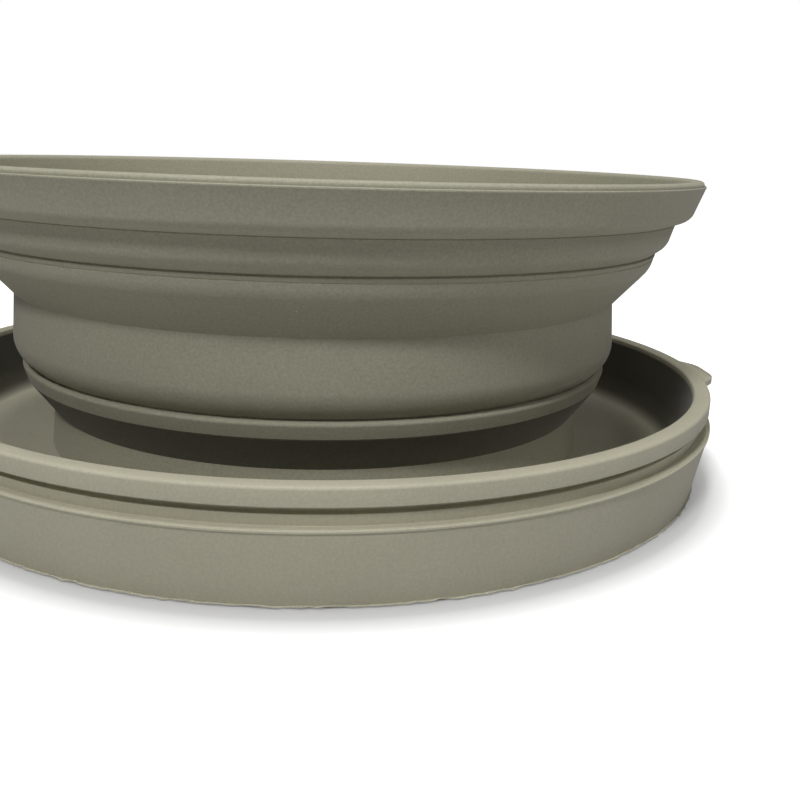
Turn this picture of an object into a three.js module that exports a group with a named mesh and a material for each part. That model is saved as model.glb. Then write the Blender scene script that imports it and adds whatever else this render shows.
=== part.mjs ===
// Collapsible travel bowl standing in its shallow storage tray, both moulded in soft silicone.
// Millimetres, +Z up, origin at the centre of the tray's underside.
// The bowl is a stack of stiff rings joined by thin folds that turn inside out as it collapses.
import * as THREE from 'three';

// Tray: outer wall up to a step, then a groove, then an overhanging lip
const TRAY_RADIUS = 88;
const TRAY_TAPER = 2.8;
const TRAY_FLOOR = 4.5;
const TRAY_INNER_TAPER = 2;
const STEP_HEIGHT = 13.8;
const STEP_WIDTH = 1.85;
const GROOVE_HEIGHT = 4.1;
const LIP_OVERHANG = 1.25;
const LIP_HEIGHT = 2.6;
const LIP_WIDTH = 3.4;
const LIP_ROUND = 0.8;
const FOOT_ROUND = 0.6;
const FLOOR_FILLET = 2.2;

// Pull tab on the tray's lip
const TAB_AZIMUTH = -2.5;
const TAB_REACH = 4.2;
const TAB_TIP_WIDTH = 12;
const TAB_ROOT_WIDTH = 27;
const TAB_THICKNESS = 1.5;
const TAB_CORNER = 2.4;

// Bowl floor with its upright foot, and the undercut heel fold above it
const BASE_RADIUS = 59.4;
const BASE_HEIGHT = 8.4;
const BASE_NARROWING = 0.5;
const BASE_FLOOR = 2.2;
const BASE_ROUND = 0.8;
const HEEL_REACH = 5;
const HEEL_RISE = 7.1;

// Base wall: a bead, a crease, then a skirt that narrows upwards
const BASE_WALL = 2.2;
const BEAD_HEIGHT = 3.6;
const BEAD_BULGE = 0.9;
const CREASE_DEPTH = 0.4;
const SKIRT_OUTSET = 1.9;
const SKIRT_ROUND = 2.4;
const WALL_HEIGHT = 14.1;
const WALL_NARROWING = 0.9;

// Folds and bands above the base wall, each fold reaching outwards and up to the next band
const MAIN_FOLD_REACH = 7.3;
const MAIN_FOLD_RISE = 8.8;
const LOWER_BAND = { height: 2.4, flare: 0.6, wall: 2 };
const LOWER_STEP_REACH = 2.5;
const LOWER_STEP_RISE = 2.8;
const MIDDLE_BAND = { height: 3.3, flare: 0.9, wall: 1.8 };
const UPPER_STEP_REACH = 3.4;
const UPPER_STEP_RISE = 2.3;
const RIM_BAND = { height: 5.2, flare: 1.8, wall: 2.4 };
const RIM_LEDGE = 0.9;
const RIM_BEAD_RISE = 1;
const RIM_BEAD_ROUND = 0.9;
const SHOULDER_TUCK = 0.4;
const SHOULDER_DEPTH = 0.55;

// Clearance between neighbouring pieces, and the fineness of round shapes
const GAP = 0.3;
const TURN_SEGMENTS = 60;
const ROUND_STEPS = 3;
const SILICONE_COLOUR = 0x9f9b88;

const lipUnderside = STEP_HEIGHT + GROOVE_HEIGHT;
const lipTop = lipUnderside + LIP_HEIGHT;
const grooveRadius = TRAY_RADIUS - STEP_WIDTH;
const lipOuter = grooveRadius + LIP_OVERHANG;
const lipInner = lipOuter - LIP_WIDTH;

function mesh(name, geometry) {
  const material = new THREE.MeshStandardMaterial({
    color: SILICONE_COLOUR, roughness: 0.75, metalness: 0,
  });
  const piece = new THREE.Mesh(geometry, material);
  piece.name = name;
  return piece;
}

// Point on the edge from one corner to the next, never past the edge's middle
function along(from, to, distance) {
  const share = Math.min(distance / from.distanceTo(to), 0.5);
  return from.clone().lerp(to, share);
}

// Section outline from corners given as [radius, height, round]
function outline(corners) {
  const at = (i) => new THREE.Vector2(...corners.at(i % corners.length));
  return corners.flatMap(([, , round = 0], i) => {
    if (round === 0) return [at(i)];
    const start = along(at(i), at(i - 1), round);
    const end = along(at(i), at(i + 1), round);
    return new THREE.QuadraticBezierCurve(start, at(i), end).getPoints(ROUND_STEPS);
  });
}

// Piece turned about +Z from a section that closes on itself or starts and ends on the axis
function turned(name, corners) {
  const points = outline(corners);
  if (corners[0][0] > 0) points.push(points[0].clone());
  return mesh(name, new THREE.LatheGeometry(points, TURN_SEGMENTS).rotateX(Math.PI / 2));
}

// Thin fold from the top face of the ring below to the foot face of the ring above
function fold(name, below, above) {
  const start = below.height + GAP;
  const end = above.height - GAP;
  return turned(name, [
    [below.outer, start],
    [above.outer - SHOULDER_TUCK, end - SHOULDER_DEPTH],
    [above.outer, end],
    [above.inner, end],
    [below.inner, start],
  ]);
}

// Foot and top faces of a plain flaring band
function bandFaces(footOuter, footHeight, { height, flare, wall }) {
  return {
    foot: { outer: footOuter, inner: footOuter - wall, height: footHeight },
    top: { outer: footOuter + flare, inner: footOuter + flare - wall, height: footHeight + height },
  };
}

function plainBand(name, { foot, top }) {
  return turned(name, [
    [foot.outer, foot.height], [top.outer, top.height], [top.inner, top.height], [foot.inner, foot.height],
  ]);
}

function trayShell() {
  return turned('tray_shell', [
    [0, 0],
    [TRAY_RADIUS - TRAY_TAPER, 0, FOOT_ROUND],
    [TRAY_RADIUS, STEP_HEIGHT],
    [grooveRadius, STEP_HEIGHT],
    [grooveRadius, lipUnderside],
    [lipOuter, lipUnderside],
    [lipOuter, lipTop, LIP_ROUND],
    [lipInner, lipTop, LIP_ROUND / 2],
    [lipInner - TRAY_INNER_TAPER, TRAY_FLOOR, FLOOR_FILLET],
    [0, TRAY_FLOOR],
  ]);
}

// Flat tongue with a straight tip and sloping sides, its root following the lip
function pullTab() {
  const rootRadius = lipOuter + GAP;
  const rootAngle = Math.asin(TAB_ROOT_WIDTH / 2 / rootRadius);
  const root = new THREE.Vector2(Math.cos(rootAngle), Math.sin(rootAngle)).multiplyScalar(rootRadius);
  const tip = new THREE.Vector2(lipOuter + TAB_REACH, TAB_TIP_WIDTH / 2);
  const side = along(tip, root, TAB_CORNER);
  const edge = along(tip, new THREE.Vector2(tip.x, 0), TAB_CORNER);
  const shape = new THREE.Shape();
  shape.moveTo(root.x, -root.y);
  shape.lineTo(side.x, -side.y);
  shape.quadraticCurveTo(tip.x, -tip.y, edge.x, -edge.y);
  shape.lineTo(edge.x, edge.y);
  shape.quadraticCurveTo(tip.x, tip.y, side.x, side.y);
  shape.lineTo(root.x, root.y);
  shape.absarc(0, 0, rootRadius, rootAngle, -rootAngle, true);
  const geometry = new THREE.ExtrudeGeometry(shape, {
    depth: TAB_THICKNESS, bevelEnabled: false, curveSegments: 6,
  });
  const tab = mesh('pull_tab', geometry);
  tab.rotation.z = THREE.MathUtils.degToRad(TAB_AZIMUTH);
  tab.position.z = lipUnderside;
  return tab;
}

const baseSeat = TRAY_FLOOR + GAP;
const baseTopOuter = BASE_RADIUS - BASE_NARROWING;
const baseTop = {
  outer: baseTopOuter, inner: baseTopOuter - BASE_WALL, height: baseSeat + BASE_HEIGHT,
};

function bowlBase() {
  return turned('bowl_base', [
    [0, baseSeat],
    [BASE_RADIUS, baseSeat, BASE_ROUND],
    [baseTop.outer, baseTop.height],
    [baseTop.inner, baseTop.height],
    [baseTop.inner, baseSeat + BASE_FLOOR, FLOOR_FILLET],
    [0, baseSeat + BASE_FLOOR],
  ]);
}

const wallFootOuter = baseTop.outer + HEEL_REACH;
const wallFoot = {
  outer: wallFootOuter, inner: wallFootOuter - BASE_WALL, height: baseTop.height + HEEL_RISE,
};
const creaseRadius = wallFoot.outer + BEAD_BULGE - CREASE_DEPTH;
const creaseHeight = wallFoot.height + BEAD_HEIGHT;
const skirtRadius = creaseRadius + SKIRT_OUTSET;
const wallTop = {
  outer: skirtRadius - WALL_NARROWING,
  inner: skirtRadius - WALL_NARROWING - BASE_WALL,
  height: creaseHeight + WALL_HEIGHT,
};

function baseWall() {
  return turned('base_wall', [
    [wallFoot.outer, wallFoot.height],
    [wallFoot.outer + BEAD_BULGE, wallFoot.height + BEAD_HEIGHT * 0.65, BEAD_HEIGHT * 0.35],
    [creaseRadius, creaseHeight],
    [skirtRadius, creaseHeight + SKIRT_OUTSET, SKIRT_ROUND],
    [wallTop.outer, wallTop.height],
    [wallTop.inner, wallTop.height],
    [skirtRadius - BASE_WALL, creaseHeight + SKIRT_OUTSET, SKIRT_ROUND],
    [wallFoot.inner, wallFoot.height],
  ]);
}

const lower = bandFaces(wallTop.outer + MAIN_FOLD_REACH, wallTop.height + MAIN_FOLD_RISE, LOWER_BAND);
const middle = bandFaces(
  lower.top.outer + LOWER_STEP_REACH, lower.top.height + LOWER_STEP_RISE, MIDDLE_BAND,
);
const rim = bandFaces(middle.top.outer + UPPER_STEP_REACH, middle.top.height + UPPER_STEP_RISE, RIM_BAND);

// Tall band with a thin outer edge, a lower ledge inside it and a rounded bead round the mouth
function rimBand() {
  const beadTop = rim.top.height + RIM_BEAD_RISE;
  return turned('rim_band', [
    [rim.foot.outer, rim.foot.height],
    [rim.top.outer, rim.top.height],
    [rim.top.outer - RIM_LEDGE, rim.top.height],
    [rim.top.outer - RIM_LEDGE, beadTop, RIM_BEAD_ROUND],
    [rim.top.inner - RIM_LEDGE, beadTop, RIM_BEAD_ROUND],
    [rim.foot.inner, rim.foot.height],
  ]);
}

const bowl = new THREE.Group();
bowl.add(
  trayShell(),
  pullTab(),
  bowlBase(),
  fold('base_fold', baseTop, wallFoot),
  baseWall(),
  fold('main_fold', wallTop, lower.foot),
  plainBand('lower_band', lower),
  fold('lower_step_fold', lower.top, middle.foot),
  plainBand('middle_band', middle),
  fold('upper_step_fold', middle.top, rim.foot),
  rimBand(),
);

export default bowl;
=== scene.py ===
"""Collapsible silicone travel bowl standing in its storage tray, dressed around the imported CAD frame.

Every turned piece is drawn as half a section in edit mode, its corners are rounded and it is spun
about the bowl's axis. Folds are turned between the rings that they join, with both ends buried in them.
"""
import logging
import math
from dataclasses import dataclass, field
from enum import Enum

import bmesh
import bpy
from mathutils import Matrix, Vector

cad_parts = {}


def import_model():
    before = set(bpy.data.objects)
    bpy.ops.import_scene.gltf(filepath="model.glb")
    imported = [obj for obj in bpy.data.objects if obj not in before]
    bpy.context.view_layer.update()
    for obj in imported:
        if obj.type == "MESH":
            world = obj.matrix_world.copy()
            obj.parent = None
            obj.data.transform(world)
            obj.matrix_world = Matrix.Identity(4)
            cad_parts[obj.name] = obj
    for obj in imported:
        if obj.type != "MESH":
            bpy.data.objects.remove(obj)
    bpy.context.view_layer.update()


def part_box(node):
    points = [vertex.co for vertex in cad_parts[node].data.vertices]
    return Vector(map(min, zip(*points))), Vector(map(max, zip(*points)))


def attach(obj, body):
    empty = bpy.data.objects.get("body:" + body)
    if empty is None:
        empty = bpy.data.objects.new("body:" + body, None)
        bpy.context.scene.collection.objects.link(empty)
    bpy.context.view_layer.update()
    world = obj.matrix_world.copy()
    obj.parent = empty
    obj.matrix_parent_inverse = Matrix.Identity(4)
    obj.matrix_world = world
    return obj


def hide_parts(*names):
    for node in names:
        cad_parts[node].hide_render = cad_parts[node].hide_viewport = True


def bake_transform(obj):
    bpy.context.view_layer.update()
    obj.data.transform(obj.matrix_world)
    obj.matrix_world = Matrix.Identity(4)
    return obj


LOG = logging.getLogger("travel_bowl")
MM = 0.001

Colour = tuple[float, float, float, float]
SocketValue = bpy.types.NodeSocket | float


class SectionEnd(Enum):
    """How half a section ends: on the turning axis, or back at its own first corner."""

    ON_AXIS = "on axis"
    CLOSED = "closed"


@dataclass(frozen=True)
class Corner:
    """Corner of half a section, in millimetres: radius from the axis, height and rounding."""

    radius: float
    height: float
    rounding: float = 0.0

    def place(self) -> Vector:
        """Return the corner's place in the XZ plane, in metres."""
        return Vector((self.radius * MM, 0.0, self.height * MM))


@dataclass(frozen=True)
class RingFace:
    """Flat end of a ring, in millimetres: inner and outer radius at one height.

    Attributes:
        inner: inner radius.
        outer: outer radius.
        height: height above the floor.
        chamfer: how far the outer edge is cut back, which leaves a fine crease under the next fold.
    """

    inner: float
    outer: float
    height: float
    chamfer: float = 0.0

    @property
    def seam(self) -> float:
        """Return the radius at which the next fold joins the face."""
        return self.outer - self.chamfer


@dataclass(frozen=True)
class PaintedShadeRing:
    """Ring round the axis in which shade is painted into a surface's colour, in metres.

    Attributes:
        start: radius at which the shade starts.
        full: radius from which it is full.
        end: radius at which it stops.
        top: height above which there is none.
        fade: distance over which it fades at its end and top.
        depth: share of the colour that it takes away.
    """

    start: float
    full: float
    end: float
    top: float
    fade: float
    depth: float


@dataclass(frozen=True)
class SiliconeFinish:
    """Matte silicone: its colour, how it mottles, and how much grain and dust it shows.

    Attributes:
        name: material name.
        colour: body colour in linear light.
        mottle: share by which broad patches darken or lighten.
        grain: share by which the fine speckle darkens or lightens.
        dust: share of the surface that carries pale dust specks.
        roughness: mean roughness of the skin.
        shade: ring in which shade is painted into its colour, if any.
    """

    name: str
    colour: Colour
    mottle: float
    grain: float
    dust: float
    roughness: float
    shade: PaintedShadeRing | None = None


BOWL_SILICONE = SiliconeFinish("bowl_silicone", (0.402, 0.385, 0.290, 1.0), 0.05, 0.21, 0.014, 0.62)
# Painted shade: the base fold's outside gets this much darker copy of the bowl's silicone, standing in
# for the deep shade in the undercut under the bead.
HEEL_PAINTED_SHADE = SiliconeFinish("heel_painted_shade", (0.108, 0.104, 0.079, 1.0), 0.08, 0.26, 0.006, 0.72)
# Painted shade: the inside of the tray's wall is darkened in its colour, standing in for the deep shade
# under the bowl.
TRAY_INSIDE_PAINTED_SHADE = PaintedShadeRing(
    start=0.0800, full=0.0828, end=0.0842, top=0.0192, fade=0.0005, depth=0.82
)
TRAY_SILICONE = SiliconeFinish(
    "tray_silicone", (0.532, 0.508, 0.388, 1.0), 0.08, 0.12, 0.024, 0.58, TRAY_INSIDE_PAINTED_SHADE
)
FLASH_SILICONE = SiliconeFinish("flash_silicone", (0.640, 0.615, 0.500, 1.0), 0.10, 0.12, 0.030, 0.66)


class NodeSketch:
    """Shorthand for placing and linking shader nodes in one tree."""

    def __init__(self, tree: bpy.types.NodeTree) -> None:
        """Keep the tree that nodes go into.

        Args:
            tree: node tree of a material, world or group.
        """
        self.tree = tree

    def add(self, kind: str, **settings: object) -> bpy.types.Node:
        """Add a node and set its properties.

        Args:
            kind: node type name.
            settings: property values by name.

        Returns:
            The new node.
        """
        node = self.tree.nodes.new(kind)
        for name, value in settings.items():
            setattr(node, name, value)
        return node

    def link(self, source: bpy.types.NodeSocket, target: bpy.types.NodeSocket) -> None:
        """Link one socket to another."""
        self.tree.links.new(source, target)

    def math(self, operation: str, first: SocketValue, second: SocketValue) -> bpy.types.NodeSocket:
        """Add a math node.

        Args:
            operation: Blender's name of the operation.
            first: socket or number.
            second: socket or number.

        Returns:
            The result's socket.
        """
        node = self.add("ShaderNodeMath", operation=operation)
        for socket, value in zip(node.inputs, (first, second)):
            if isinstance(value, bpy.types.NodeSocket):
                self.link(value, socket)
            else:
                socket.default_value = value
        return node.outputs[0]

    def noise(self, where: bpy.types.NodeSocket, scale: float, detail: float) -> bpy.types.NodeSocket:
        """Add a noise texture.

        Args:
            where: texture coordinates.
            scale: repeats per metre.
            detail: octaves.

        Returns:
            The noise value's socket, centred on a half.
        """
        node = self.add("ShaderNodeTexNoise")
        node.inputs["Scale"].default_value = scale
        node.inputs["Detail"].default_value = detail
        self.link(where, node.inputs["Vector"])
        return node.outputs["Fac"]

    def ramp(self, value: bpy.types.NodeSocket, low: float, high: float) -> bpy.types.NodeSocket:
        """Map a stretch of values to 0..1, clamped.

        Args:
            value: socket to map.
            low: value that becomes 0.
            high: value that becomes 1.

        Returns:
            The mapped value's socket.
        """
        node = self.add("ShaderNodeMapRange", clamp=True)
        node.inputs["From Min"].default_value = low
        node.inputs["From Max"].default_value = high
        self.link(value, node.inputs["Value"])
        return node.outputs["Result"]


class SiliconeSkin:
    """Shader node group for a moulded silicone surface: mottle, fine grain, dust and skin bump."""

    NAME = "silicone_skin"
    NOISE_MEAN = 0.5
    NOISE_GAIN = 2.0
    MOTTLE_SCALE = 55.0
    MOTTLE_DETAIL = 3.0
    GRAIN_SCALE = 2100.0
    GRAIN_DETAIL = 1.0
    GRAIN_RELIEF = 0.5
    SKIN_SCALE = 900.0
    SKIN_DETAIL = 3.0
    ROUGHNESS_SPREAD = 0.18
    DUST_SCALE = 260.0
    DUST_COLOUR: Colour = (0.62, 0.60, 0.52, 1.0)
    SPECK_SIZE = 0.10

    def __init__(self) -> None:
        """Build the group once."""
        self.tree = bpy.data.node_groups.new(self.NAME, "ShaderNodeTree")
        self._sockets()
        self._nodes()

    def _sockets(self) -> None:
        """Give the group its named inputs and outputs."""
        face = self.tree.interface
        face.new_socket("Colour", in_out="INPUT", socket_type="NodeSocketColor")
        for name in ("Mottle", "Grain", "Dust", "Roughness"):
            face.new_socket(name, in_out="INPUT", socket_type="NodeSocketFloat")
        face.new_socket("Colour", in_out="OUTPUT", socket_type="NodeSocketColor")
        face.new_socket("Roughness", in_out="OUTPUT", socket_type="NodeSocketFloat")
        face.new_socket("Height", in_out="OUTPUT", socket_type="NodeSocketFloat")

    def _nodes(self) -> None:
        """Lay out the group's nodes."""
        sketch = NodeSketch(self.tree)
        given = sketch.add("NodeGroupInput").outputs
        result = sketch.add("NodeGroupOutput").inputs
        where = sketch.add("ShaderNodeTexCoord").outputs["Object"]
        mottle = sketch.noise(where, self.MOTTLE_SCALE, self.MOTTLE_DETAIL)
        grain = sketch.noise(where, self.GRAIN_SCALE, self.GRAIN_DETAIL)
        skin = sketch.noise(where, self.SKIN_SCALE, self.SKIN_DETAIL)
        shade = sketch.math(
            "ADD",
            sketch.math("MULTIPLY", sketch.math("SUBTRACT", mottle, self.NOISE_MEAN), given["Mottle"]),
            sketch.math("MULTIPLY", sketch.math("SUBTRACT", grain, self.NOISE_MEAN), given["Grain"]),
        )
        level = sketch.math("ADD", sketch.math("MULTIPLY", shade, self.NOISE_GAIN), 1.0)
        toned = sketch.add("ShaderNodeVectorMath", operation="SCALE")
        sketch.link(given["Colour"], toned.inputs[0])
        sketch.link(level, toned.inputs["Scale"])
        specks = self._dust(sketch, where, given["Dust"])
        dusted = sketch.add("ShaderNodeMix", data_type="RGBA")
        dusted.inputs["B"].default_value = self.DUST_COLOUR
        sketch.link(specks, dusted.inputs["Factor"])
        sketch.link(toned.outputs[0], dusted.inputs["A"])
        swing = sketch.math("SUBTRACT", skin, self.NOISE_MEAN)
        rough = sketch.math("MULTIPLY", swing, self.ROUGHNESS_SPREAD)
        sketch.link(dusted.outputs["Result"], result["Colour"])
        sketch.link(sketch.math("ADD", given["Roughness"], rough), result["Roughness"])
        relief = sketch.math("ADD", sketch.math("MULTIPLY", grain, self.GRAIN_RELIEF), skin)
        sketch.link(sketch.math("ADD", relief, specks), result["Height"])

    def _dust(
        self, sketch: NodeSketch, where: bpy.types.NodeSocket, amount: bpy.types.NodeSocket
    ) -> bpy.types.NodeSocket:
        """Scatter small specks, each in its own random cell.

        Args:
            sketch: tree to draw in.
            where: texture coordinates.
            amount: share of cells that carry a speck.

        Returns:
            Mask socket that is 1 on a speck.
        """
        cells = sketch.add("ShaderNodeTexVoronoi")
        cells.inputs["Scale"].default_value = self.DUST_SCALE
        sketch.link(where, cells.inputs["Vector"])
        chance = sketch.add("ShaderNodeSeparateColor")
        sketch.link(cells.outputs["Color"], chance.inputs["Color"])
        chosen = sketch.math("LESS_THAN", chance.outputs["Red"], amount)
        small = sketch.math("MULTIPLY", chance.outputs["Green"], self.SPECK_SIZE)
        inside = sketch.math("LESS_THAN", cells.outputs["Distance"], small)
        return sketch.math("MULTIPLY", chosen, inside)


class FinishShelf:
    """Makes one material per finish and hands it out."""

    BUMP_STRENGTH = 0.16
    BUMP_DISTANCE = 0.00012
    SPECULAR = 0.35
    SHEEN = 0.12
    SHEEN_ROUGHNESS = 0.5

    def __init__(self) -> None:
        """Build the shared skin group and start with no materials."""
        self.skin = SiliconeSkin()
        self.made: dict[str, bpy.types.Material] = {}

    def material(self, finish: SiliconeFinish) -> bpy.types.Material:
        """Return the finish's material, making it on first use.

        Args:
            finish: finish to look up.

        Returns:
            Its node material.
        """
        if finish.name not in self.made:
            self.made[finish.name] = self._make(finish)
        return self.made[finish.name]

    def _make(self, finish: SiliconeFinish) -> bpy.types.Material:
        """Build the material of one finish around the skin group."""
        material = bpy.data.materials.new(finish.name)
        material.use_nodes = True
        sketch = NodeSketch(material.node_tree)
        shader = material.node_tree.nodes["Principled BSDF"]
        shader.inputs["Specular IOR Level"].default_value = self.SPECULAR
        shader.inputs["Sheen Weight"].default_value = self.SHEEN
        shader.inputs["Sheen Roughness"].default_value = self.SHEEN_ROUGHNESS
        skin = sketch.add("ShaderNodeGroup", node_tree=self.skin.tree)
        for name, value in (
            ("Colour", finish.colour),
            ("Mottle", finish.mottle),
            ("Grain", finish.grain),
            ("Dust", finish.dust),
            ("Roughness", finish.roughness),
        ):
            skin.inputs[name].default_value = value
        bump = sketch.add("ShaderNodeBump")
        bump.inputs["Strength"].default_value = self.BUMP_STRENGTH
        bump.inputs["Distance"].default_value = self.BUMP_DISTANCE
        colour = skin.outputs["Colour"]
        if finish.shade:
            colour = self._shaded(sketch, colour, finish.shade)
        sketch.link(colour, shader.inputs["Base Color"])
        sketch.link(skin.outputs["Roughness"], shader.inputs["Roughness"])
        sketch.link(skin.outputs["Height"], bump.inputs["Height"])
        sketch.link(bump.outputs["Normal"], shader.inputs["Normal"])
        return material

    def _shaded(
        self, sketch: NodeSketch, colour: bpy.types.NodeSocket, ring: PaintedShadeRing
    ) -> bpy.types.NodeSocket:
        """Paint shade into a colour inside a ring round the axis.

        Args:
            sketch: tree to draw in.
            colour: colour to darken.
            ring: where and how much.

        Returns:
            The darkened colour's socket.
        """
        axes = sketch.add("ShaderNodeSeparateXYZ")
        sketch.link(sketch.add("ShaderNodeTexCoord").outputs["Object"], axes.inputs[0])
        across, along, height = axes.outputs
        squares = (sketch.math("MULTIPLY", axis, axis) for axis in (across, along))
        radius = sketch.math("POWER", sketch.math("ADD", *squares), 0.5)
        inside = sketch.math(
            "MULTIPLY",
            sketch.ramp(radius, ring.start, ring.full),
            sketch.ramp(radius, ring.end + ring.fade, ring.end),
        )
        shade = sketch.math("MULTIPLY", inside, sketch.ramp(height, ring.top + ring.fade, ring.top))
        level = sketch.math("SUBTRACT", 1.0, sketch.math("MULTIPLY", shade, ring.depth))
        dark = sketch.add("ShaderNodeVectorMath", operation="SCALE")
        sketch.link(colour, dark.inputs[0])
        sketch.link(level, dark.inputs["Scale"])
        return dark.outputs[0]


class Modeller:
    """Hand tools: draws, rounds, spins and finishes meshes with edit-mode operators."""

    SPIN_STEPS = 240
    ROUND_SEGMENTS = 5
    ROUND_PROFILE = 0.5
    SMOOTH_ANGLE = math.radians(38)
    MERGE = 2e-6

    def start(self, name: str, place: Vector) -> bpy.types.Object:
        """Add a small plane at a place and open it in edit mode, with nothing else selected.

        Args:
            name: name of the new piece.
            place: where the plane goes.

        Returns:
            The new object, in edit mode.
        """
        bpy.ops.object.select_all(action="DESELECT")
        bpy.ops.mesh.primitive_plane_add(size=MM, location=place)
        piece = bpy.context.active_object
        piece.name = name
        piece.data.name = name
        bpy.ops.object.transform_apply(location=True, rotation=False, scale=False)
        bpy.ops.object.mode_set(mode="EDIT")
        return piece

    def pick(self, piece: bpy.types.Object, places: list[Vector]) -> None:
        """Select only the vertices nearest to some places.

        Args:
            piece: object in edit mode.
            places: points to look near.
        """
        bpy.ops.mesh.select_mode(type="VERT")
        bpy.ops.mesh.select_all(action="DESELECT")
        mesh = bmesh.from_edit_mesh(piece.data)
        for place in places:
            nearest = min(mesh.verts, key=lambda vert: (vert.co - place).length_squared)
            nearest.select_set(True)
        mesh.select_flush_mode()
        bmesh.update_edit_mesh(piece.data)

    def trace(self, name: str, places: list[Vector]) -> bpy.types.Object:
        """Draw a wire by extruding one vertex from place to place.

        Args:
            name: name of the new piece.
            places: the wire's points in order.

        Returns:
            The wire, in edit mode.
        """
        piece = self.start(name, places[0])
        bpy.ops.mesh.select_all(action="SELECT")
        bpy.ops.mesh.merge(type="CENTER")
        for before, after in zip(places, places[1:]):
            bpy.ops.mesh.extrude_vertices_move(TRANSFORM_OT_translate={"value": after - before})
        return piece

    def round_corners(
        self, piece: bpy.types.Object, places: list[Vector], radius: float, segments: int
    ) -> None:
        """Round the corners nearest to some places.

        Args:
            piece: object in edit mode.
            places: points to look near.
            radius: how far the rounding reaches, in millimetres.
            segments: number of edges round each corner.
        """
        self.pick(piece, places)
        bpy.ops.mesh.bevel(
            offset_type="ABSOLUTE", offset=radius * MM, affect="VERTICES",
            segments=segments, profile=self.ROUND_PROFILE,
        )

    def draw(self, name: str, corners: list[Corner], end: SectionEnd) -> bpy.types.Object:
        """Draw half a section and round its corners.

        Args:
            name: name of the new piece.
            corners: the section's corners in order.
            end: whether the section ends on the axis or closes on itself.

        Returns:
            The wire, in edit mode.
        """
        places = [corner.place() for corner in corners]
        piece = self.trace(name, places)
        if end is SectionEnd.CLOSED:
            self.pick(piece, [places[0], places[-1]])
            bpy.ops.mesh.edge_face_add()
        for corner in corners:
            if corner.rounding > 0:
                self.round_corners(piece, [corner.place()], corner.rounding, self.ROUND_SEGMENTS)
        return piece

    def turn(self, name: str, corners: list[Corner], end: SectionEnd) -> bpy.types.Object:
        """Draw half a section and spin it about the bowl's axis.

        Args:
            name: name of the new piece.
            corners: the section's corners in order.
            end: whether the section ends on the axis or closes on itself.

        Returns:
            The finished turned piece, in object mode.
        """
        piece = self.draw(name, corners, end)
        bpy.ops.mesh.select_all(action="SELECT")
        bpy.ops.mesh.spin(
            steps=self.SPIN_STEPS, angle=math.tau, center=(0, 0, 0), axis=(0, 0, 1), use_auto_merge=True
        )
        self.close(piece)
        return piece

    def close(self, piece: bpy.types.Object) -> None:
        """Merge doubles, turn faces outwards, leave edit mode and shade smooth by angle.

        Args:
            piece: object in edit mode.
        """
        bpy.ops.mesh.select_all(action="SELECT")
        bpy.ops.mesh.remove_doubles(threshold=self.MERGE)
        bpy.ops.mesh.normals_make_consistent(inside=False)
        bpy.ops.object.mode_set(mode="OBJECT")
        bpy.ops.object.select_all(action="DESELECT")
        piece.select_set(True)
        bpy.context.view_layer.objects.active = piece
        bpy.ops.object.shade_smooth_by_angle(angle=self.SMOOTH_ANGLE)


def node_radius(node: str) -> float:
    """Return the outer radius of a turned CAD node, in millimetres."""
    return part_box(node)[1][0] / MM


def node_heights(node: str) -> tuple[float, float]:
    """Return the lowest and highest height of a CAD node, in millimetres."""
    low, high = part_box(node)
    return low[2] / MM, high[2] / MM


def finish_piece(piece: bpy.types.Object, material: bpy.types.Material, *nodes: str) -> None:
    """Give a piece its material, and hide the CAD nodes that it stands for.

    Args:
        piece: finished piece.
        material: material to put on it.
        nodes: CAD nodes that it replaces.
    """
    piece.data.materials.clear()
    piece.data.materials.append(material)
    if nodes:
        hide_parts(*nodes)
    LOG.info("%s: %d faces", piece.name, len(piece.data.polygons))


# Parting line on the tray's step, going up and inwards: offsets from the step's edge as shares of the
# line, and roundings in millimetres
STEP_PARTING_LINE = (
    (-1.0, -2.0, 0.0), (0.0, -1.5, 0.05), (0.0, 0.0, 0.09), (-1.0, 0.0, 0.05), (-1.6, -1.0, 0.0),
    (-2.4, 0.0, 0.05),
)


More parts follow.
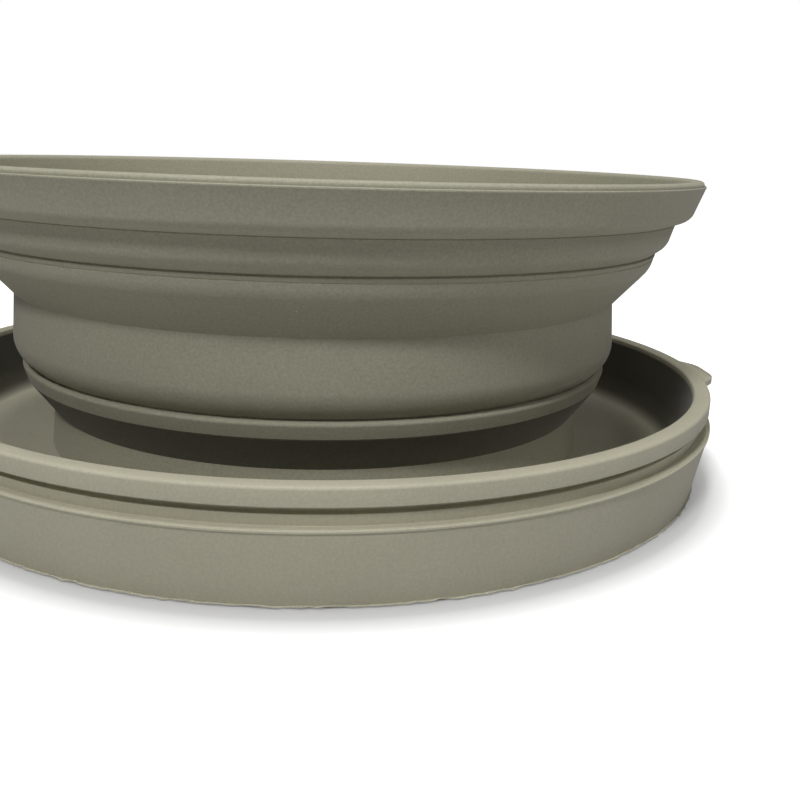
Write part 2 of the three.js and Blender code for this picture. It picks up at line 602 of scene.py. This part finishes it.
@dataclass
class Tray:
    """Shallow storage tray: stepped wall, grooved lip, pull tab and the moulding's ragged foot.

    Sizes are in millimetres.
    """

    shelf: FinishShelf
    tools: Modeller
    taper: float = 2.8
    inner_taper: float = 2.0
    floor: float = 4.5
    step_height: float = 13.8
    step_width: float = 1.85
    groove_height: float = 3.4
    lip_overhang: float = 1.25
    lip_width: float = 3.4
    parting_line: float = 0.26
    lip_undercut: float = 0.9
    lip_recess: float = 1.4
    recess_slope: float = 0.2
    recess_round: float = 0.1
    lip_under_round: float = 0.2
    lip_round: float = 0.6
    lip_inner_round: float = 0.4
    groove_lean: float = 0.3
    groove_round: float = 0.15
    foot_round: float = 0.45
    floor_round: float = 2.6
    tab_azimuth: float = -2.5
    tab_reach: float = 4.2
    tab_tip_width: float = 12.0
    tab_root_width: float = 27.0
    tab_root_share: float = 0.8
    tab_corner: float = 2.6
    tab_corner_segments: int = 8
    tab_round: float = 0.4
    tab_round_segments: int = 3
    tab_round_angle: float = 50.0
    tab_cuts: int = 14
    tab_bend_before: float = 0.4
    tab_bend_after: float = 1.6
    flash_root: float = 0.3
    flash_width: float = 0.45
    flash_thickness: float = 0.14
    flash_points: int = 420
    flash_ragged: float = 0.32
    flash_seed: int = 11

    def build(self) -> None:
        """Model and dress the tray's pieces."""
        self.build_shell()
        self.build_tab()
        self.build_flash()

    def build_shell(self) -> None:
        """Turn the tray's wall, lip and floor."""
        outer = node_radius("tray_shell")
        top = node_heights("tray_shell")[1]
        groove = outer - self.step_width
        under_lip = self.step_height + self.groove_height
        recess = under_lip - self.lip_recess
        lip = groove + self.lip_overhang
        line = self.parting_line
        shell = self.tools.turn("tray_skin", [
            Corner(0.0, 0.0),
            Corner(outer - self.taper, 0.0, self.foot_round),
            *(
                Corner(outer + out * line, self.step_height + up * line, rounding)
                for out, up, rounding in STEP_PARTING_LINE
            ),
            Corner(groove - self.groove_lean, self.step_height, self.groove_round),
            Corner(groove, recess, self.recess_round),
            Corner(groove - self.lip_undercut, recess + self.recess_slope, self.recess_round),
            Corner(groove - self.lip_undercut, under_lip, self.recess_round),
            Corner(lip, under_lip, self.lip_under_round),
            Corner(lip, top, self.lip_round),
            Corner(lip - self.lip_width, top, self.lip_inner_round),
            Corner(lip - self.lip_width - self.inner_taper, self.floor, self.floor_round),
            Corner(0.0, self.floor),
        ], SectionEnd.ON_AXIS)
        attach(shell, "tray")
        finish_piece(shell, self.shelf.material(TRAY_SILICONE), "tray_shell")

    def build_tab(self) -> None:
        """Model the pull tab as a flat tongue whose root is buried in the lip."""
        low, high = node_heights("pull_tab")
        lip = node_radius("tray_shell") - self.step_width + self.lip_overhang
        root = lip - self.tab_root_share * self.lip_width
        tip = lip + self.tab_reach
        meeting = math.sqrt(lip ** 2 - (self.tab_root_width / 2) ** 2)
        spread = (self.tab_root_width - self.tab_tip_width) / 2 / (tip - meeting)
        half_tip = self.tab_tip_width / 2
        half_root = half_tip + spread * (tip - root)
        outline = [
            Vector((x * MM, y * MM, low * MM))
            for x, y in ((root, -half_root), (tip, -half_tip), (tip, half_tip), (root, half_root))
        ]
        tab = self.tools.trace("tab_skin", outline)
        bpy.ops.mesh.select_all(action="SELECT")
        bpy.ops.mesh.edge_face_add()
        self.tools.round_corners(tab, outline[1:3], self.tab_corner, self.tab_corner_segments)
        self._thicken_tab(root, tip, high - low)
        self.tools.close(tab)
        self._round_tab(tab)
        turn = math.radians(self.tab_azimuth)
        tab.rotation_euler.z = turn
        bpy.ops.object.transform_apply(location=False, rotation=True, scale=False)
        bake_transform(tab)
        finish_piece(tab, self.shelf.material(TRAY_SILICONE), "pull_tab")

    def _thicken_tab(self, root: float, tip: float, thickness: float) -> None:
        """Extrude the tab's outline upwards and cut it across so that it can bend.

        Args:
            root: radius of its buried end.
            tip: radius of its tip.
            thickness: its height.
        """
        bpy.ops.mesh.select_all(action="SELECT")
        bpy.ops.mesh.extrude_region_move(TRANSFORM_OT_translate={"value": (0, 0, thickness * MM)})
        for cut in range(1, self.tab_cuts):
            bpy.ops.mesh.select_all(action="SELECT")
            radius = root + (tip - root) * cut / self.tab_cuts
            bpy.ops.mesh.bisect(plane_co=(radius * MM, 0, 0), plane_no=(1, 0, 0))

    def _round_tab(self, tab: bpy.types.Object) -> None:
        """Round the tab's long edges with a bevel."""
        soften = tab.modifiers.new("soften", "BEVEL")
        soften.width = self.tab_round * MM
        soften.segments = self.tab_round_segments
        soften.limit_method = "ANGLE"
        soften.angle_limit = math.radians(self.tab_round_angle)
        bpy.ops.object.modifier_apply(modifier=soften.name)

    def build_flash(self) -> None:
        """Model the ragged film of silicone left round the foot by the mould."""
        foot = node_radius("tray_shell") - self.taper
        height = self.flash_thickness + self.flash_ragged
        buried = foot - self.flash_root
        bpy.ops.object.select_all(action="DESELECT")
        bpy.ops.mesh.primitive_circle_add(
            vertices=self.flash_points, radius=buried * MM, location=(0, 0, height * MM)
        )
        flash = bpy.context.active_object
        flash.name = flash.data.name = "foot_flash"
        bpy.ops.object.transform_apply(location=True, rotation=False, scale=False)
        bpy.ops.object.mode_set(mode="EDIT")
        bpy.ops.mesh.select_all(action="SELECT")
        bpy.ops.mesh.extrude_edges_move()
        share = (foot + self.flash_width) / buried
        bpy.ops.transform.resize(value=(share, share, 1), center_override=(0, 0, 0))
        bpy.ops.transform.vertex_random(
            offset=self.flash_ragged * MM, uniform=0.0, normal=0.0, seed=self.flash_seed
        )
        bpy.ops.object.mode_set(mode="OBJECT")
        film = flash.modifiers.new("film", "SOLIDIFY")
        film.thickness = self.flash_thickness * MM
        film.offset = 0.0
        bpy.ops.object.modifier_apply(modifier=film.name)
        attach(flash, "tray")
        finish_piece(flash, self.shelf.material(FLASH_SILICONE))


@dataclass(frozen=True)
class FoldPlan:
    """Fold that joins two rings, with sizes in millimetres.

    Attributes:
        node: CAD node of the fold.
        below: body of the ring that it rises from.
        above: body of the ring that it reaches.
        shoulder: depth of the rounded shoulder under the ring above.
        rounding: rounding of that shoulder.
        finish: finish of its outside.
    """

    node: str
    below: str
    above: str
    shoulder: float
    rounding: float
    finish: SiliconeFinish


FOLDS = (
    # The base fold's outside carries the heel's painted shade.
    FoldPlan("base_fold", "base", "wall", 0.3, 0.2, HEEL_PAINTED_SHADE),
    FoldPlan("main_fold", "wall", "lower_ring", 1.0, 1.0, BOWL_SILICONE),
    FoldPlan("lower_step_fold", "lower_ring", "middle_ring", 1.2, 1.0, BOWL_SILICONE),
    FoldPlan("upper_step_fold", "middle_ring", "rim_ring", 1.2, 1.1, BOWL_SILICONE),
)
# Offsets from the rim's outer radius and its edge's height, and roundings, going up
RIM_PARTING_EDGE = ((-0.09, -0.40, 0.0), (0.0, -0.30, 0.06), (0.0, 0.0, 0.12))
# The same from the ledge's radius, going inwards
RIM_GROOVE = ((0.16, 0.06, 0.12), (0.06, -0.20, 0.08), (-0.10, -0.20, 0.07))


@dataclass
class Bowl:
    """Collapsible bowl: footed floor, base wall, three bands and the folds that join them.

    Sizes are in millimetres.
    """

    shelf: FinishShelf
    tools: Modeller
    base_floor: float = 2.2
    base_narrowing: float = 0.5
    base_flare: float = 0.4
    base_wall: float = 2.2
    base_sink: float = 0.25
    base_round: float = 0.6
    floor_round: float = 2.4
    bead_bulge: float = 0.9
    bead_height: float = 3.6
    bead_crown: float = 0.8
    bead_round: float = 0.6
    crease_depth: float = 1.1
    crease_slot: float = 0.45
    crease_round: float = 0.1
    crease_backing: float = 0.2
    crease_backing_rise: float = 0.5
    skirt_overhang: float = 1.5
    skirt_round: float = 2.4
    skirt_inner_rise: float = 1.0
    skirt_inner_round: float = 2.0
    wall_narrowing: float = 0.9
    lower_flare: float = 0.6
    lower_wall: float = 2.0
    lower_chamfer: float = 0.32
    middle_flare: float = 0.9
    middle_wall: float = 1.8
    middle_chamfer: float = 0.12
    band_round: float = 0.12
    groove_drop: float = 1.1
    groove_depth: float = 0.18
    groove_height: float = 0.3
    groove_round: float = 0.06
    rim_flare: float = 1.8
    rim_wall: float = 2.4
    rim_ledge: float = 0.28
    rim_bead: float = 1.0
    rim_bead_inset: float = 0.9
    rim_bead_setback: float = 0.16
    rim_bead_round: float = 0.7
    rim_mouth_round: float = 1.0
    fold_bury: float = 0.3
    fold_tuck: float = 0.2
    fold_lean: float = 0.35
    fold_inner_share: float = 0.6
    fold_heel_share: float = 0.2
    faces: dict[str, tuple[RingFace, RingFace]] = field(default_factory=dict)

    def build(self) -> None:
        """Model and dress the bowl from its floor up."""
        self.measure()
        self.build_base()
        self.build_wall()
        self.build_bands()
        self.build_rim()
        self.build_folds()

    def measure(self) -> None:
        """Work out each ring's foot and top face from the frame."""
        low, high = node_heights("bowl_base")
        foot = node_radius("bowl_base")
        top = foot - self.base_narrowing
        self.faces["base"] = (
            RingFace(0.0, foot + self.base_flare, low), RingFace(top - self.base_wall, top, high),
        )
        low, high = node_heights("base_wall")
        foot = node_radius("base_fold")
        top = foot + self.bead_bulge + self.skirt_overhang - self.wall_narrowing
        self.faces["wall"] = (
            RingFace(foot - self.base_wall, foot, low), RingFace(top - self.base_wall, top, high),
        )
        self.faces["lower_ring"] = self._band(
            "lower_band", self.lower_flare, self.lower_wall, self.lower_chamfer
        )
        self.faces["middle_ring"] = self._band(
            "middle_band", self.middle_flare, self.middle_wall, self.middle_chamfer
        )
        self.faces["rim_ring"] = self._band("rim_band", self.rim_flare, self.rim_wall)

    def _band(
        self, node: str, flare: float, wall: float, chamfer: float = 0.0
    ) -> tuple[RingFace, RingFace]:
        """Return a flaring band's foot and top face.

        Args:
            node: the band's CAD node.
            flare: how much wider its top is than its foot.
            wall: its thickness.
            chamfer: how far its top edge is cut back.

        Returns:
            Foot and top face.
        """
        low, high = node_heights(node)
        top = node_radius(node)
        foot = top - flare
        return RingFace(foot - wall, foot, low), RingFace(top - wall, top, high, chamfer)

    def build_base(self) -> None:
        """Turn the bowl's floor with the upright foot that stands in the tray."""
        foot, top = self.faces["base"]
        seat = foot.height - self.base_sink
        floor = foot.height + self.base_floor
        base = self.tools.turn("base_skin", [
            Corner(0.0, seat),
            Corner(foot.outer, seat, self.base_round),
            Corner(top.outer, top.height),
            Corner(top.inner, top.height),
            Corner(top.inner, floor, self.floor_round),
            Corner(0.0, floor),
        ], SectionEnd.ON_AXIS)
        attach(base, "base")
        finish_piece(base, self.shelf.material(BOWL_SILICONE), "bowl_base")

    def build_wall(self) -> None:
        """Turn the base wall: bead, slotted crease and the rounded skirt above them."""
        foot, top = self.faces["wall"]
        skirt = top.outer + self.wall_narrowing
        bead = foot.outer + self.bead_bulge
        crease = foot.height + self.bead_height
        crease_radius = bead - self.crease_depth
        slot_radius = crease_radius - self.crease_slot
        slot_foot = crease - self.crease_slot
        skirt_height = crease + skirt - crease_radius
        backing_height = crease + self.crease_backing_rise
        wall = self.tools.turn("wall_skin", [
            Corner(foot.outer, foot.height),
            Corner(bead, foot.height + self.bead_crown * self.bead_height, self.bead_round),
            Corner(crease_radius, slot_foot, self.crease_round),
            Corner(slot_radius, slot_foot),
            Corner(slot_radius, crease),
            Corner(crease_radius, crease, self.crease_round),
            Corner(skirt, skirt_height, self.skirt_round),
            Corner(top.outer, top.height),
            Corner(top.inner, top.height),
            Corner(skirt - self.base_wall, skirt_height + self.skirt_inner_rise, self.skirt_inner_round),
            Corner(foot.inner + self.crease_backing, backing_height, self.skirt_inner_round),
            Corner(foot.inner, foot.height),
        ], SectionEnd.CLOSED)
        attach(wall, "wall")
        finish_piece(wall, self.shelf.material(BOWL_SILICONE), "base_wall")

    def build_bands(self) -> None:
        """Turn the two bands under the rim, the lower one with a fine groove round it."""
        for ring, node in (("lower_ring", "lower_band"), ("middle_ring", "middle_band")):
            foot, top = self.faces[ring]
            groove = self._band_groove(foot, top) if ring == "lower_ring" else []
            band = self.tools.turn(f"{node}_skin", [
                Corner(foot.outer, foot.height),
                *groove,
                Corner(top.outer, top.height - top.chamfer, self.band_round),
                Corner(top.seam, top.height),
                Corner(top.inner, top.height),
                Corner(foot.inner, foot.height),
            ], SectionEnd.CLOSED)
            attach(band, ring)
            finish_piece(band, self.shelf.material(BOWL_SILICONE), node)

    def _band_groove(self, foot: RingFace, top: RingFace) -> list[Corner]:
        """Return the corners of the fine groove round a band, in rising order.

        Args:
            foot: foot face of the band.
            top: top face of the band.

        Returns:
            Lower edge, bottom and upper edge of the groove.
        """
        lean = (top.outer - foot.outer) / (top.height - top.chamfer - foot.height)
        middle, half = top.height - self.groove_drop, self.groove_height / 2
        cut = ((middle - half, 0.0), (middle, self.groove_depth), (middle + half, 0.0))
        return [
            Corner(foot.outer + lean * (height - foot.height) - depth, height, self.groove_round)
            for height, depth in cut
        ]

    def build_rim(self) -> None:
        """Turn the rim band with its parting edge, ledge, fine groove and rounded mouth bead."""
        foot, top = self.faces["rim_ring"]
        edge = top.height - self.rim_bead
        ledge = top.outer - self.rim_ledge
        rim = self.tools.turn("rim_skin", [
            Corner(foot.outer, foot.height),
            *(Corner(top.outer + out, edge + up, rounding) for out, up, rounding in RIM_PARTING_EDGE),
            *(Corner(ledge + out, edge + up, rounding) for out, up, rounding in RIM_GROOVE),
            Corner(ledge - self.rim_bead_setback, top.height, self.rim_bead_round),
            Corner(top.inner - self.rim_bead_inset, top.height, self.rim_mouth_round),
            Corner(foot.inner, foot.height),
        ], SectionEnd.CLOSED)
        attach(rim, "rim_ring")
        finish_piece(rim, self.shelf.material(BOWL_SILICONE), "rim_band")

    def build_folds(self) -> None:
        """Turn each fold between the two rings that it joins."""
        for plan in FOLDS:
            start, end = self.faces[plan.below][1], self.faces[plan.above][0]
            fold = self._turn_fold(plan, start, end)
            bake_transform(fold)
            finish_piece(fold, self.shelf.material(plan.finish), plan.node)
            # The heel's painted shade stays on its outside; its inside keeps the bowl's silicone.
            if plan.finish is not BOWL_SILICONE:
                self._line_inside(fold, self.shelf.material(BOWL_SILICONE))

    def _turn_fold(self, plan: FoldPlan, start: RingFace, end: RingFace) -> bpy.types.Object:
        """Turn one fold from the ring below to the ring above, with both ends buried in the rings.

        Args:
            plan: what it joins and how it is rounded.
            start: top face of the ring below.
            end: foot face of the ring above.

        Returns:
            The finished fold.
        """
        lean = self.fold_lean * plan.shoulder
        inner_lean, inner_shoulder = (self.fold_inner_share * size for size in (lean, plan.shoulder))
        heel = start.height + self.fold_heel_share * (end.height - start.height)
        tuck = self.fold_tuck
        buried_start = start.height - self.fold_bury
        buried_end = end.height + self.fold_bury
        return self.tools.turn(f"{plan.node}_skin", [
            Corner(start.seam - tuck, buried_start),
            Corner(start.seam, start.height),
            Corner(end.outer - lean, end.height - plan.shoulder, plan.rounding),
            Corner(end.outer, end.height),
            Corner(end.outer - tuck, buried_end),
            Corner(end.inner + tuck, buried_end),
            Corner(end.inner, end.height),
            Corner(end.inner - inner_lean, end.height - inner_shoulder, plan.rounding / 2),
            Corner(start.inner + tuck, heel, plan.rounding / 2),
            Corner(start.inner + tuck, buried_start),
        ], SectionEnd.CLOSED)

    def _line_inside(self, fold: bpy.types.Object, material: bpy.types.Material) -> None:
        """Give the faces that look towards the bowl's axis a material of their own.

        Args:
            fold: finished fold with its outer material.
            material: material of its inside.
        """
        fold.data.materials.append(material)
        for face in fold.data.polygons:
            outward = Vector((face.center.x, face.center.y, 0.0))
            if face.normal.dot(outward) <= 0.0:
                face.material_index = 1


@dataclass(frozen=True)
class Lamp:
    """Square lamp aimed at the bowl.

    Attributes:
        name: lamp name.
        azimuth: degrees round from the front, to the right.
        elevation: degrees up.
        power: power in watts.
        size: side of the lamp in metres.
    """

    name: str
    azimuth: float
    elevation: float
    power: float
    size: float


@dataclass
class Studio:
    """Pale floor, soft lamps, plain world and the photograph's camera. Lengths are in metres."""

    focal_px: float = 942.3
    frame_px: float = 800.0
    sensor: float = 36.0
    camera_back: float = 0.2164
    camera_height: float = 0.0684
    pitch: float = 0.2615
    yaw: float = 0.0878
    roll: float = 0.0324
    floor_size: float = 8.0
    floor_paint: float = 0.50
    floor_roughness: float = 0.9
    # Painted shadow: the floor's glow to the camera drops to this level near the tray and rises back to
    # white between the two radii below.
    painted_shadow_glow: float = 0.20
    painted_shadow_fade_start: float = 0.0885
    painted_shadow_fade_end: float = 0.100
    world_level: float = 0.005
    lamp_reach: float = 1.2
    lamp_aim: float = 0.04
    near_clip: float = 0.01
    lamps: tuple[Lamp, ...] = (
        Lamp("overhead", 0.0, 88.0, 7.9, 0.55),
        Lamp("key_left", -24.0, 47.0, 4.6, 0.16),
        Lamp("high_left", -24.0, 53.0, 1.0, 0.16),
        Lamp("front_right", 42.0, 44.0, 2.1, 0.30),
    )

    def build(self) -> None:
        """Set up the stage, the light and the camera."""
        bpy.context.scene.view_settings.view_transform = "Standard"
        self.build_floor()
        self.build_world()
        for lamp in self.lamps:
            self.build_lamp(lamp)
        self.build_camera()

    def build_floor(self) -> None:
        """Lay a plain floor that keeps the tray's shadow, with a painted shadow round the tray that
        fades to white for the camera.
        """
        bpy.ops.object.select_all(action="DESELECT")
        bpy.ops.mesh.primitive_plane_add(size=self.floor_size, location=(0, 0, 0))
        floor = bpy.context.active_object
        floor.name = floor.data.name = "floor"
        material = bpy.data.materials.new("floor_white")
        material.use_nodes = True
        sketch = NodeSketch(material.node_tree)
        nodes = material.node_tree.nodes
        paint = nodes["Principled BSDF"]
        grey = self.floor_paint
        paint.inputs["Base Color"].default_value = (grey, grey, grey, 1.0)
        paint.inputs["Roughness"].default_value = self.floor_roughness
        paint.inputs["Specular IOR Level"].default_value = 0.0
        glow = sketch.add("ShaderNodeEmission")
        path = sketch.add("ShaderNodeLightPath")
        both = sketch.add("ShaderNodeAddShader")
        reach = sketch.add("ShaderNodeVectorMath", operation="LENGTH")
        sketch.link(sketch.add("ShaderNodeTexCoord").outputs["Object"], reach.inputs[0])
        # Painted shadow: the glow is lower in a ring round the tray.
        past_painted_shadow = sketch.ramp(reach.outputs["Value"], self.painted_shadow_fade_start, self.painted_shadow_fade_end)
        level = sketch.math("MULTIPLY_ADD", past_painted_shadow, 1.0 - self.painted_shadow_glow)
        level.node.inputs[2].default_value = self.painted_shadow_glow
        seen = sketch.math("MULTIPLY", path.outputs["Is Camera Ray"], level)
        sketch.link(seen, glow.inputs["Strength"])
        sketch.link(paint.outputs[0], both.inputs[0])
        sketch.link(glow.outputs[0], both.inputs[1])
        sketch.link(both.outputs[0], nodes["Material Output"].inputs["Surface"])
        floor.data.materials.append(material)

    def build_world(self) -> None:
        """Add a little even light from all round, and show white to the camera."""
        world = bpy.data.worlds.new("studio")
        world.use_nodes = True
        bpy.context.scene.world = world
        sketch = NodeSketch(world.node_tree)
        path = sketch.add("ShaderNodeLightPath")
        seen = sketch.math("MULTIPLY", path.outputs["Is Camera Ray"], 1.0 - self.world_level)
        ground = world.node_tree.nodes["Background"]
        ground.inputs["Color"].default_value = (1, 1, 1, 1)
        sketch.link(sketch.math("ADD", seen, self.world_level), ground.inputs["Strength"])

    def build_lamp(self, lamp: Lamp) -> None:
        """Hang a soft square lamp and aim it at the bowl.

        Args:
            lamp: where it hangs and how strong it is.
        """
        data = bpy.data.lights.new(lamp.name, "AREA")
        data.size = lamp.size
        data.energy = lamp.power
        hung = bpy.data.objects.new(lamp.name, data)
        bpy.context.scene.collection.objects.link(hung)
        turn, rise = math.radians(lamp.azimuth), math.radians(lamp.elevation)
        ahead = math.cos(rise)
        outward = Vector((math.sin(turn) * ahead, -math.cos(turn) * ahead, math.sin(rise)))
        hung.location = outward * self.lamp_reach
        aim = Vector((0.0, 0.0, self.lamp_aim)) - hung.location
        hung.rotation_euler = aim.to_track_quat("-Z", "Y").to_euler()

    def build_camera(self) -> None:
        """Place the camera at the photograph's viewing angle."""
        right = Vector((math.cos(self.yaw), -math.sin(self.yaw), 0))
        ahead = Vector((math.sin(self.yaw), math.cos(self.yaw), 0))
        down = math.sin(self.pitch)
        level = math.cos(self.pitch)
        forward = level * ahead - down * Vector((0, 0, 1))
        upward = down * ahead + level * Vector((0, 0, 1))
        rolled_right = math.cos(self.roll) * right + math.sin(self.roll) * upward
        rolled_up = math.cos(self.roll) * upward - math.sin(self.roll) * right
        data = bpy.data.cameras.new("camera")
        data.sensor_width = self.sensor
        data.lens = self.focal_px / self.frame_px * self.sensor
        data.clip_start = self.near_clip
        camera = bpy.data.objects.new("camera", data)
        bpy.context.scene.collection.objects.link(camera)
        turn = Matrix((rolled_right, rolled_up, -forward)).transposed().to_4x4()
        camera.matrix_world = Matrix.Translation((0, -self.camera_back, self.camera_height)) @ turn
        bpy.context.scene.camera = camera


def main() -> None:
    """Load the frame, build the tray, the bowl and the studio."""
    logging.basicConfig(level=logging.INFO, format="%(name)s: %(message)s")
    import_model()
    shelf = FinishShelf()
    tools = Modeller()
    Tray(shelf, tools).build()
    Bowl(shelf, tools).build()
    Studio().build()


if __name__ == "__main__":
    main()
